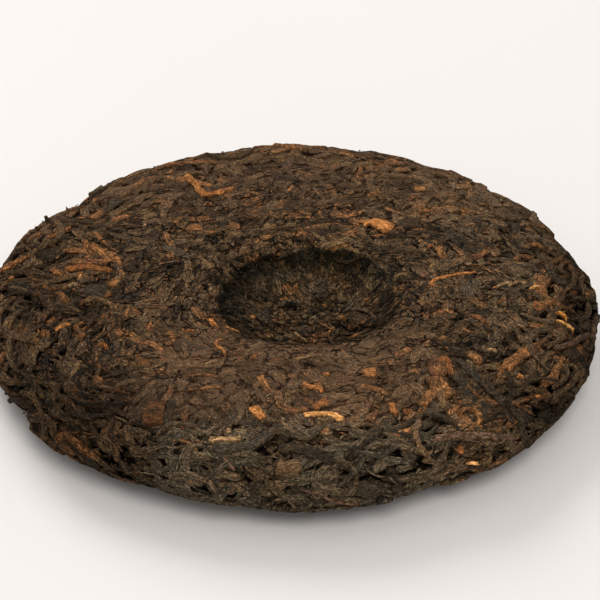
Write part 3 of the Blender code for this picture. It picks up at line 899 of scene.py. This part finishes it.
def pressed(plant, loose):
    """Lays each point of the leaves over the skin at its own height, and presses high ones to the cap."""
    given = plant.given
    place = plant.node("GeometryNodeInputPosition")
    normal = plant.node("GeometryNodeInputNormal")
    looseness = looseness_at(plant, place)
    swayed = bent_place(plant, place, 130.0, 1.0, 0.5, given("Warp") * 2.0 * looseness)

    def on_skin(value):
        sockets = {"Mesh": given("Geometry"), "Value": value, "Sample Position": swayed}
        return plant.node("GeometryNodeSampleNearestSurface", {"data_type": "FLOAT_VECTOR"}, sockets, "Value")

    foot, out = on_skin(place), on_skin(normal)
    order = plant.read("leaf_order")
    ripple = (plant.noise(place, 330.0) - 0.5) * RIPPLE
    height = plant.read("leaf_height") + given("Low") + (given("High") - given("Low")) * order + ripple
    cap = given("Cap") + (plant.noise(place, 80.0) - 0.5) * CAP_UNEVEN
    height = (height - above_only(plant, height - cap, CAP_EASE) + order * ORDER_STEP) * looseness
    x, y, z = plant.parts(plant.vector("ADD", foot, plant.stretched(out, height)))
    kept = plant.stored(loose, "leaf_depth", height)
    kept = plant.stored(kept, "leaf_looseness", looseness)
    spot = plant.joined(x, y, above_only(plant, z, FLOOR_EASE))
    return plant.node("GeometryNodeSetPosition", {}, {"Geometry": kept, "Position": spot})


# Leaves that stand out, each with its finish, its width in millimetres, how far it stands proud,
# and the places in the picture that it runs through

MARKED_LEAVES = {
    "long_stick": ("slate", 3.2, 1.3, [(456, 361), (478, 379), (499, 399), (514, 413), (524, 425)]),
    "stick_beside": ("stem", 1.8, 0.8, [(497, 403), (505, 412), (514, 426)]),
    "low_stick": ("stem", 2.8, 1.2, [(432, 441), (445, 438), (459, 436), (487, 437), (515, 438)]),
    "slate_blade_by_stick": ("slate", 7.5, 0.4, [(456, 371), (468, 387), (480, 404), (488, 418)]),
    "russet_blade": ("russet", 4.6, 0.5, [(538, 345), (526, 352), (512, 362), (498, 374)]),
    "russet_blade_tip": ("russet", 2.4, 0.7, [(547, 340), (538, 345), (528, 351)]),
    "twig_at_right": ("stem", 2.2, 0.9, [(593, 337), (574, 343), (553, 350)]),
    "slate_flake_at_right": ("slate", 6.0, 0.6, [(567, 360), (579, 352)]),
    "rim_curl_outer": ("dark", 1.8, 1.0, [(572, 364), (576, 374), (570, 384), (559, 394), (550, 404)]),
    "rim_curl_inner": ("dark", 1.6, 0.9, [(560, 362), (567, 372), (562, 381), (552, 389)]),
    "orange_flake_low": ("orange", 2.0, 0.6, [(533, 397), (542, 397)]),
    "orange_flake_upper": ("orange", 2.2, 0.5, [(515, 376), (526, 379)]),
    "crumpled_leaf_top": ("russet", 7.0, 0.6, [(441, 357), (437, 367), (436, 378)]),
    "crumpled_leaf": ("russet", 8.0, 0.7, [(437, 376), (441, 390), (447, 399)]),
    "crumpled_leaf_foot": ("russet", 4.0, 0.6, [(434, 390), (426, 400), (421, 407)]),
    "crumpled_leaf_fold": ("tan", 3.2, 0.9, [(439, 391), (442, 402), (448, 411)]),
    "crumpled_leaf_edge": ("orange", 2.4, 0.9, [(437, 361), (446, 359), (449, 368), (452, 377)]),
    "tan_ring": ("russet", 2.0, 1.1, [(457, 415), (466, 411), (475, 412), (480, 419), (477, 427)]),
    "orange_in_ring": ("orange", 3.0, 0.6, [(458, 414), (464, 416)]),
    "grey_twig": ("slate", 2.2, 1.0, [(428, 418), (438, 417), (449, 421), (457, 429)]),
    "hanging_twig": ("tan", 1.9, 1.0, [(413, 428), (416, 441), (422, 452), (433, 464)]),
    "brown_twig": ("stem", 2.6, 0.8, [(421, 419), (415, 431), (417, 444)]),
    "orange_patch_low": ("orange", 3.2, 0.6, [(456, 450), (465, 449)]),
    "orange_strip_left_of_it": ("orange", 2.4, 0.6, [(391, 402), (393, 409), (396, 416)]),
    "round_orange": ("orange", 5.2, 0.9, [(363, 374), (370, 373), (378, 374)]),
    "brown_by_round": ("russet", 3.0, 0.7, [(386, 382), (391, 381), (396, 383)]),
    "orange_crumb": ("orange", 3.0, 0.7, [(402, 413), (407, 412), (412, 414)]),
    "slip_front": ("russet", 2.4, 0.5, [(359, 386), (370, 388), (380, 391), (390, 396)]),
    "patch_front_left": ("russet", 3.0, 0.4, [(259, 375), (264, 383), (269, 392)]),
    "fleck_front": ("orange", 1.8, 0.5, [(321, 375), (326, 374), (331, 375)]),
    "slip_front_left": ("tan", 1.6, 0.5, [(204, 365), (212, 362), (220, 361)]),
    "patch_by_lip": ("russet", 3.4, 0.4, [(394, 355), (403, 352), (412, 348)]),
    "golden_blade": ("gold", 2.6, 0.6, [(302, 417), (313, 414), (326, 414), (337, 417), (345, 421)]),
    "dark_red_leaf": ("russet", 3.4, 0.4, [(283, 412), (297, 411), (311, 409)]),
    "russet_above_blade": ("orange", 3.6, 0.5, [(312, 408), (321, 404), (330, 401)]),
    "tan_above_blade": ("tan", 2.0, 0.6, [(284, 397), (293, 393), (300, 389)]),
    "orange_hook": ("orange", 2.4, 0.7, [(300, 384), (311, 387), (319, 388), (323, 393)]),
    "orange_spot": ("orange", 3.8, 0.8, [(253, 406), (257, 413), (263, 420)]),
    "tan_strip": ("tan", 2.8, 1.0, [(208, 440), (220, 441), (233, 441), (244, 439)]),
    "tan_crumb": ("tan", 2.4, 0.6, [(225, 432), (233, 431)]),
    "slate_under_strip": ("slate", 4.2, 0.6, [(206, 448), (226, 450), (246, 447), (268, 435), (282, 424)]),
    "slate_blade_left": ("slate", 4.0, 0.6, [(183, 468), (186, 454), (194, 444)]),
    "slate_blade_middle": ("slate", 5.0, 0.7, [(277, 449), (297, 449), (318, 455), (337, 464)]),
    "slate_blade_right": ("slate", 4.2, 0.8, [(346, 461), (358, 449), (369, 438), (383, 428)]),
    "tan_leaf_low": ("tan", 6.0, 0.9, [(275, 467), (289, 469), (303, 465)]),
    "thin_twig_low": ("stem", 1.3, 0.8, [(223, 455), (228, 464), (235, 471)]),
    "square_flake": ("russet", 11.5, 0.9, [(141, 414), (153, 414), (166, 415)]),
    "russet_drop": ("russet", 2.4, 0.6, [(187, 408), (185, 418), (183, 428)]),
    "russet_drop_end": ("orange", 2.8, 0.8, [(180, 428), (187, 429)]),
    "dark_blade_by_flake": ("slate", 2.8, 0.6, [(169, 426), (170, 412), (173, 398)]),
    "orange_hook_left": ("orange", 1.6, 0.7, [(96, 347), (104, 345), (107, 351)]),
    "tan_slip_left": ("tan", 2.0, 0.8, [(72, 377), (76, 369), (81, 361)]),
    "thin_s": ("orange", 1.2, 0.5, [(226, 338), (217, 341), (217, 346), (223, 350), (226, 357)]),
    "clod_left": ("slate", 3.6, 2.2, [(280, 306), (292, 304), (303, 307)]),
    "clod_left_chip": ("russet", 1.2, 2.6, [(291, 300), (296, 304)]),
    "clod_right": ("dark", 5.2, 2.6, [(348, 317), (359, 320), (371, 324), (380, 325)]),
    "clod_right_curl": ("stem", 1.4, 2.8, [(349, 312), (360, 311), (371, 315), (378, 321)]),
    "clod_right_chip": ("orange", 1.4, 1.8, [(339, 317), (346, 321)]),
    "dimple_tan_chip": ("tan", 1.6, 1.2, [(274, 312), (277, 317)]),
    "dimple_russet_chip": ("russet", 2.6, 1.0, [(249, 316), (257, 319)]),
    "dimple_slip": ("tan", 1.4, 1.6, [(293, 333), (301, 339), (309, 344)]),
    "hook_below_dimple": ("orange", 1.5, 0.5, [(253, 360), (255, 356), (261, 354)]),
    "slip_below_dimple": ("tan", 1.6, 0.4, [(244, 354), (253, 349), (264, 346)]),
    "tan_streak_at_lip": ("tan", 2.2, 0.4, [(294, 361), (304, 357), (316, 354)]),
    "red_thread": ("russet", 1.8, 0.4, [(186, 376), (204, 375), (223, 378)]),
    "red_thread_low": ("russet", 1.6, 0.4, [(186, 391), (206, 388), (228, 388)]),
    "orange_wedge": ("orange", 2.2, 0.6, [(209, 318), (212, 322), (215, 327)]),
    "orange_slip": ("orange", 1.8, 0.5, [(179, 330), (187, 331), (196, 331)]),
    "left_curl": ("dark", 1.8, 1.0, [(89, 330), (91, 323), (97, 321), (100, 327), (95, 333), (90, 334)]),
    "left_snake": ("russet", 2.0, 0.9, [(79, 343), (82, 335), (76, 328), (84, 322)]),
    "left_orange_slip": ("orange", 2.2, 0.6, [(54, 331), (63, 327), (72, 324)]),
    "left_tan_leaf": ("tan", 2.8, 0.7, [(84, 302), (95, 299), (106, 302), (116, 311)]),
    "left_red_blade": ("russet", 2.6, 0.8, [(57, 293), (62, 297), (69, 303)]),
    "left_light_twig": ("tan", 1.4, 0.8, [(62, 290), (69, 287), (74, 284), (78, 287)]),
    "left_bright_chip": ("bright", 1.6, 0.7, [(78, 276), (82, 277)]),
    "left_orange_leaf": ("orange", 3.2, 0.6, [(63, 271), (73, 268), (87, 267), (102, 269), (112, 272)]),
    "left_orange_leaf_end": ("russet", 3.0, 0.7, [(51, 269), (57, 273), (64, 275)]),
    "left_orange_edge": ("orange", 1.6, 0.7, [(46, 239), (56, 236), (64, 232), (72, 228)]),
    "left_brown_slip": ("stem", 2.4, 0.7, [(60, 222), (76, 222), (94, 224)]),
    "grey_flake_far_left": ("tan", 4.0, 0.3, [(142, 217), (150, 216), (158, 213)]),
    "tan_flake_far_left": ("tan", 2.4, 0.4, [(141, 226), (148, 225)]),
    "curls_by_lip_a": ("tan", 1.4, 0.5, [(199, 257), (206, 262), (213, 268)]),
    "curls_by_lip_b": ("tan", 1.2, 0.5, [(203, 267), (209, 267), (214, 270)]),
    "bent_stem": ("orange", 2.6, 0.9, [(186, 176), (193, 183), (199, 190), (205, 195)]),
    "far_tan_leaf": ("stem", 3.0, 0.3, [(278, 171), (286, 168), (293, 157)]),
    "far_orange_dot": ("russet", 3.0, 0.4, [(320, 167), (326, 166)]),
    "far_tan_patch": ("tan", 4.0, 0.3, [(229, 235), (236, 233), (243, 233)]),
    "far_tan_patch_b": ("tan", 3.6, 0.3, [(268, 223), (270, 230)]),
    "far_red_patch": ("russet", 6.0, 0.3, [(275, 203), (286, 206)]),
    "far_light_streak": ("tan", 2.2, 0.4, [(363, 177), (371, 176), (380, 177)]),
    "eye_ring": ("dark", 1.4, 0.9, [(331, 255), (338, 250), (348, 249), (356, 252), (357, 258), (349, 262),
                                    (338, 261), (331, 256)]),
    "eye_lid": ("tan", 2.6, 0.9, [(319, 254), (326, 247), (336, 244), (349, 240)]),
    "eye_lid_right": ("tan", 2.2, 1.0, [(348, 248), (355, 251), (359, 256)]),
    "dot_by_eye": ("orange", 2.6, 0.5, [(355, 267), (360, 265)]),
    "orange_blob": ("orange", 8.5, 0.6, [(361, 224), (373, 222), (385, 226), (393, 230)]),
    "dark_round_leaf": ("dark", 8.0, 0.6, [(399, 225), (410, 223), (421, 224)]),
    "far_orange_patch": ("russet", 4.0, 0.4, [(414, 191), (420, 189), (426, 190)]),
    "far_olive_slip": ("tan", 2.6, 0.4, [(445, 203), (452, 201), (458, 202)]),
    "far_tan_slip": ("tan", 2.6, 0.4, [(433, 212), (446, 211), (460, 210)]),
    "bit_right_of_dimple": ("orange", 2.6, 0.5, [(429, 244), (432, 248)]),
    "russet_right_of_dimple": ("russet", 3.4, 0.5, [(439, 246), (441, 253), (445, 259)]),
    "russet_slip_far_right": ("russet", 3.0, 0.4, [(467, 260), (480, 255), (491, 248)]),
    "red_leaf_far_right": ("russet", 3.4, 0.6, [(525, 246), (536, 246), (546, 251)]),
    "orange_flake_far_right": ("russet", 2.6, 0.5, [(514, 263), (520, 257), (528, 258), (536, 264)]),
    "dark_bow_far_right": ("dark", 3.0, 0.9, [(549, 247), (557, 250), (559, 258), (555, 264)]),
    "dark_strip_right": ("dark", 3.6, 0.9, [(547, 262), (552, 275), (563, 285), (582, 294)]),
    "red_flake_right": ("russet", 5.0, 0.4, [(531, 304), (541, 306), (552, 303)]),
    "orange_edge_line": ("orange", 1.4, 0.6, [(437, 287), (431, 284), (437, 279), (449, 276), (459, 274),
                                              (478, 272)]),
    "feathers_a": ("tan", 1.2, 0.5, [(495, 288), (504, 284), (513, 283)]),
    "feathers_b": ("tan", 1.2, 0.5, [(508, 287), (518, 282), (527, 285)]),
    "feathers_c": ("gold", 1.2, 0.5, [(528, 290), (537, 287), (546, 289)]),
    "gold_bud_upper": ("bright", 0.9, 1.0, [(554, 314), (561, 315), (567, 321)]),
    "gold_bud_lower": ("bright", 0.9, 1.1, [(554, 322), (563, 325), (569, 329), (574, 333)]),
    "tan_chips_a": ("tan", 1.4, 0.5, [(515, 325), (520, 327), (526, 329)]),
    "tan_chips_b": ("tan", 1.2, 0.5, [(500, 325), (507, 329), (508, 325)]),
    "tan_chips_c": ("tan", 1.4, 0.5, [(485, 351), (492, 350), (499, 352)]),
    "lip_fold_right": ("tan", 1.8, 0.7, [(394, 283), (396, 277), (402, 274), (408, 276)]),
    "notch_edge": ("slate", 4.5, 1.7, [(90, 199), (97, 195), (106, 190)]),
    "notch_edge_under": ("stem", 3.0, 1.0, [(96, 204), (106, 199), (118, 196)]),
    "notch_crumb_middle": ("stem", 2.4, 1.6, [(66, 213), (69, 212)]),
    "notch_crumb_lower": ("dark", 3.2, 1.7, [(45, 223), (51, 220)]),
    "lip_bits_right": ("russet", 2.6, 0.4, [(385, 316), (393, 308), (398, 300)]),
    "left_plate": ("dark", 8.5, 0.5, [(42, 259), (52, 254), (64, 250)]),
    "left_plate_low": ("slate", 8.0, 0.6, [(84, 290), (95, 291), (108, 293)]),
    "bent_stem_foot": ("orange", 3.6, 0.8, [(200, 194), (210, 195), (221, 192), (235, 188)]),
    "left_dark_leaf": ("russet", 3.6, 0.4, [(86, 242), (94, 247), (102, 254), (109, 263)]),
    "left_orange_leaf_back": ("russet", 3.8, 0.6, [(68, 264), (80, 262), (94, 262), (108, 265)]),
}

# How such a leaf is built: the step between its rows of points, the places of the points across it, how far
# its back is crumpled, how low its edges are, how much lower its ends are in millimetres, and its order
# among the leaves that lie over each other
MARK_STEP = 0.8 * MM
MARK_SIDES = (-1.0, -0.86, -0.5, -0.15, 0.2, 0.55, 0.88, 1.0)
MARK_CRUMPLE = 0.4 * MM
MARK_EDGE = -1.2 * MM
MARK_END = 0.9
MARK_ORDER = 0.85


# Where leaves of a kind lie

def dimple_share(plant, off, height, inner, outer):
    """One over the dimple inside the inner radius, nothing past the outer one."""
    return plant.span(off, inner, outer, 1.0, 0.0) * on_top(plant, height)


def outside_dimple(plant, place, radius, off, height):
    return 1.0 - dimple_share(plant, off, height, 1.12 * DIMPLE_RADIUS, 1.30 * DIMPLE_RADIUS)


def dimple_only(plant, place, radius, off, height):
    return dimple_share(plant, off, height, 1.15 * DIMPLE_RADIUS, 1.50 * DIMPLE_RADIUS)


def dimple_floor(plant, place, radius, off, height):
    return dimple_share(plant, off, height, 0.014, 0.020)


def dimple_front(plant, place, radius, off, height):
    y = plant.parts(place)[1]
    front = plant.span(y, DIMPLE_MIDDLE.y - 6.0 * MM, DIMPLE_MIDDLE.y + 3.0 * MM, 1.0, 0.0)
    return dimple_share(plant, off, height, 0.021, 0.026) * front


def near_dimple(plant, place, radius, off, height):
    left = plant.span(plant.parts(place)[0], -0.010, 0.020, 1.0, 0.35)
    outside = outside_dimple(plant, place, radius, off, height)
    return dimple_share(plant, off, height, 0.048, 0.066) * outside * left


def rim_only(plant, place, radius, off, height):
    at_rim = plant.span(radius, 0.76 * OUTER_RADIUS, 0.92 * OUTER_RADIUS)
    return at_rim * plant.span(height, 1.0 * MM, 4.0 * MM)


def patches(scale, low, high):
    """Here and there outside the dimple, in patches."""
    def share(plant, place, radius, off, height):
        patch = plant.span(plant.noise(place, scale, 1.0), low, high)
        return patch * outside_dimple(plant, place, radius, off, height)
    return share


# Pieces of scattered leaves: shape, finish, seed and spacing, then how they lie
SCATTERED = {
    "strips": ("strip", "dark", 11, 0.0062, dict(lift=(-0.9, 0.2), cap=0.25, zone=outside_dimple)),
    "broken_leaves": ("broken", "dark", 21, 0.0046, dict(lift=(-1.0, 0.1), cap=0.2, zone=outside_dimple)),
    "broken_leaves_above": ("broken", "dark", 31, 0.0050,
                            dict(lift=(-0.6, 0.2), cap=0.3, turn=0.8, zone=outside_dimple)),
    "rim_strips": ("rim_strip", "dark", 101, 0.0072, dict(lift=(-0.8, 0.4), cap=0.7, zone=rim_only)),
    "shreds": ("shred", "dark", 41, 0.0044, dict(lift=(-0.3, 0.1), turn=0.7)),
    "fibres": ("fibre", "dark", 111, 0.0019, dict(lift=(-0.4, 0.1), cap=0.4, turn=0.25, zone=near_dimple)),
    "dimple_leaves": ("small", "dark", 121, 0.0026,
                      dict(lift=(-0.5, 0.1), cap=0.0, turn=0.6, zone=dimple_only)),
    "dimple_crumbs": ("crumb", "dark", 131, 0.0020,
                      dict(lift=(-0.3, 0.7), cap=1.4, turn=3.0, zone=dimple_floor)),
    "dimple_lumps": ("small", "dark", 151, 0.0032,
                     dict(lift=(-0.1, 0.9), cap=1.3, turn=3.0, zone=dimple_front)),
    "dimple_clods": ("crumb", "dark", 161, 0.0026,
                     dict(size=(1.0, 1.6), lift=(-0.2, 0.8), cap=1.5, turn=3.0, zone=dimple_front)),
    "pale_hairs": ("hair", "hair", 171, 0.0105,
                   dict(lift=(0.1, 0.3), cap=0.8, turn=1.6, zone=patches(75.0, 0.40, 0.60))),
    "flat_leaves": ("flat", "slate", 51, 0.018,
                    dict(lift=(-0.3, 0.1), cap=0.3, zone=patches(60.0, 0.45, 0.65))),
    "russet_leaves": ("russet", "russet", 61, 0.012,
                      dict(lift=(-0.3, 0.1), cap=0.3, zone=patches(70.0, 0.45, 0.65))),
    "stems": ("stem", "stem", 71, 0.034, dict(lift=(-0.2, 0.3), cap=0.6, zone=rim_only)),
    "gold_buds": ("bud", "gold", 81, 0.040, dict(lift=(-0.1, 0.3), cap=0.5, zone=patches(80.0, 0.50, 0.65))),
    "tan_flecks": ("fleck", "russet", 141, 0.0065,
                   dict(lift=(-0.1, 0.2), cap=0.4, turn=0.8, zone=patches(90.0, 0.35, 0.65))),
    "leaf_crumbs": ("chip", "dark", 91, 0.0030, dict(lift=(-0.1, 0.2), cap=0.5, turn=3.0)),
}


def scattered_pieces(skin, finishes):
    kinds = leaf_kinds()
    return [laid_leaves(name, skin, kinds[kind], finishes[finish], seed, spacing, **lie)
            for name, (kind, finish, seed, spacing, lie) in SCATTERED.items()]


# Leaves laid one by one

def camera_frame():
    back = Vector((0, -math.cos(CAMERA_ELEVATION), math.sin(CAMERA_ELEVATION)))
    tilt = Matrix.Rotation(math.pi / 2 - CAMERA_ELEVATION, 4, "X") @ Matrix.Rotation(CAMERA_ROLL, 4, "Z")
    return Matrix.Translation(CAMERA_AIM + back * CAMERA_DISTANCE) @ tilt


def seen_place(tree, spot):
    """The place on the skin that a spot of the picture shows."""
    view = camera_frame()
    eye = view.translation
    across, down = spot
    half = PICTURE / 2
    ray = (view.to_3x3() @ Vector((across - half, half - down, -LENS / SENSOR * PICTURE))).normalized()
    return tree.ray_cast(eye, ray)[0] or tree.find_nearest(eye + ray * CAMERA_DISTANCE)[0]


def smooth_way(knots, step):
    """Points every step along a smooth curve through the knots."""
    ends = [knots[0] * 2 - knots[1]] + knots + [knots[-1] * 2 - knots[-2]]
    way = []
    for i in range(1, len(ends) - 2):
        before, first, second, after = ends[i - 1:i + 3]
        slope = second - before
        bend = 2 * before - 5 * first + 4 * second - after
        twist = 3 * first - before - 3 * second + after
        count = max(2, round((second - first).length / step))
        for k in range(count):
            t = k / count
            way.append(0.5 * (2 * first + slope * t + bend * t * t + twist * t ** 3))
    return way + [knots[-1]]


def looseness_of_mark(foot):
    """How loosely a leaf laid one by one is pressed at a place, which is less at the middle."""
    outward = max(0.0, foot.to_2d().length / OUTER_RADIUS - 0.45) / 0.45
    return 0.55 + 0.7 * min(1.0, outward)


def marked_leaf(tree, chance, width, proud, spots):
    """One leaf as rows of points across it, bent along the skin through the spots. Each point has its place,
    its grain, its height over the skin and the leaf's tone."""
    way = smooth_way([seen_place(tree, spot) for spot in spots], MARK_STEP)
    count = len(way)
    tone = chance.random()
    half = width / 2 * MM
    ends = (chance.uniform(0.1, 0.7), chance.uniform(0.1, 0.7))
    swell = min(0.55, 1.5 / width, 0.25 * width)
    swells = (smooth_run(chance, count, swell), smooth_run(chance, count, swell))
    folds = [smooth_run(chance, count, MARK_CRUMPLE) for _ in MARK_SIDES]
    length = 0.0
    rows = []
    for i, place in enumerate(way):
        foot, normal = tree.find_nearest(place)[:2]
        looseness = looseness_of_mark(foot)
        run = (way[min(i + 1, count - 1)] - way[max(i - 1, 0)]).normalized()
        side = normal.cross(run).normalized()
        length += (way[i] - way[i - 1]).length if i else 0.0
        share = i / (count - 1)
        narrow = min(1.0, ends[0] + 5 * share, ends[1] + 5 * (1 - share)) ** 0.7
        closed = 1.0 if i in (0, count - 1) else 0.0
        row = []
        for k, across in enumerate(MARK_SIDES):
            reach = across * half * narrow * (1 + swells[across > 0][i])
            arch = math.sqrt(max(0.0, 1 - across * across))
            back = (proud * (0.35 + 0.65 * arch) * MM + folds[k][i] * arch) * looseness
            rise = back if abs(across) < 1 else MARK_EDGE
            rise -= closed * (proud + MARK_END) * MM
            grain = (length, reach, max(abs(across), closed))
            row.append((foot + side * reach + normal * rise, grain, rise, tone))
        rows.append(row)
    return rows


def marked_piece(name, leaves, finish):
    """One mesh of all leaves of a finish."""
    told = []
    faces = []
    for rows in leaves:
        faces += tube_faces(len(rows), len(MARK_SIDES), len(told))
        told += [point for row in rows for point in row]
    points, grains, depths, tones = zip(*told)
    piece = stored_shape(name, points, faces, grains)
    count = len(points)
    kept = {"leaf_depth": depths, "leaf_tone": tones, "leaf_order": [MARK_ORDER] * count,
            "leaf_looseness": [1.0] * count}
    for key, values in kept.items():
        piece.data.attributes.new(key, "FLOAT", "POINT").data.foreach_set("value", values)
    piece.data.materials.append(finish)
    bpy.context.scene.collection.objects.link(piece)
    return piece


def marked_pieces(skin, finishes):
    tree = BVHTree.FromObject(skin, bpy.context.evaluated_depsgraph_get())
    chance = random.Random(MARK_SEED)
    kinds = {}
    for finish, width, proud, spots in MARKED_LEAVES.values():
        kinds.setdefault(finish, []).append(marked_leaf(tree, chance, width, proud, spots))
    return [marked_piece("marked_" + kind, leaves, finishes[kind]) for kind, leaves in kinds.items()]


def stage_floor():
    mesh = bpy.data.meshes.new("floor")
    far = FLOOR_REACH
    mesh.from_pydata([(-far, -far, 0), (far, -far, 0), (far, far, 0), (-far, far, 0)], [], [(0, 1, 2, 3)])
    floor = bpy.data.objects.new("floor", mesh)
    bpy.context.scene.collection.objects.link(floor)
    mesh.materials.append(floor_finish())


def soft_lamp(name, place, size, power, colour):
    """A round soft lamp that shines at the middle of the cake's foot."""
    lamp = bpy.data.lights.new(name, "AREA")
    lamp.shape = "DISK"
    lamp.size = size
    lamp.energy = power
    lamp.color = colour
    holder = bpy.data.objects.new(name, lamp)
    holder.location = place
    holder.rotation_euler = (-Vector(place)).to_track_quat("-Z", "Y").to_euler()
    bpy.context.scene.collection.objects.link(holder)


def light_scene():
    world = bpy.data.worlds.new("studio")
    bpy.context.scene.world = world
    world.use_nodes = True
    background = world.node_tree.nodes["Background"]
    background.inputs["Color"].default_value = SKY
    background.inputs["Strength"].default_value = SKY_STRENGTH
    soft_lamp("window", (-1.5, 3.1, 2.3), 2.4, 108, (1.0, 0.975, 0.95))
    soft_lamp("fill", (0.6, -2.5, 3.8), 2.5, 90, (1.0, 0.965, 0.935))
    bpy.context.scene.view_settings.view_transform = "Standard"


def place_camera():
    camera = bpy.data.cameras.new("camera")
    camera.sensor_width = SENSOR
    camera.lens = LENS
    camera.clip_start = 0.01
    camera.clip_end = 20
    holder = bpy.data.objects.new("camera", camera)
    holder.matrix_world = camera_frame()
    bpy.context.scene.collection.objects.link(holder)
    bpy.context.scene.camera = holder


def main():
    skin = skin_copy("skin", SKIN_VOXEL, SKIN_SMOOTHING)
    core = core_piece()
    finishes = leaf_finishes()
    pieces = [core] + scattered_pieces(skin, finishes) + marked_pieces(skin, finishes)
    bpy.data.objects.remove(skin, do_unlink=True)
    for piece in pieces:
        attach(piece, "root")
    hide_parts(CAKE)
    stage_floor()
    light_scene()
    place_camera()


main()
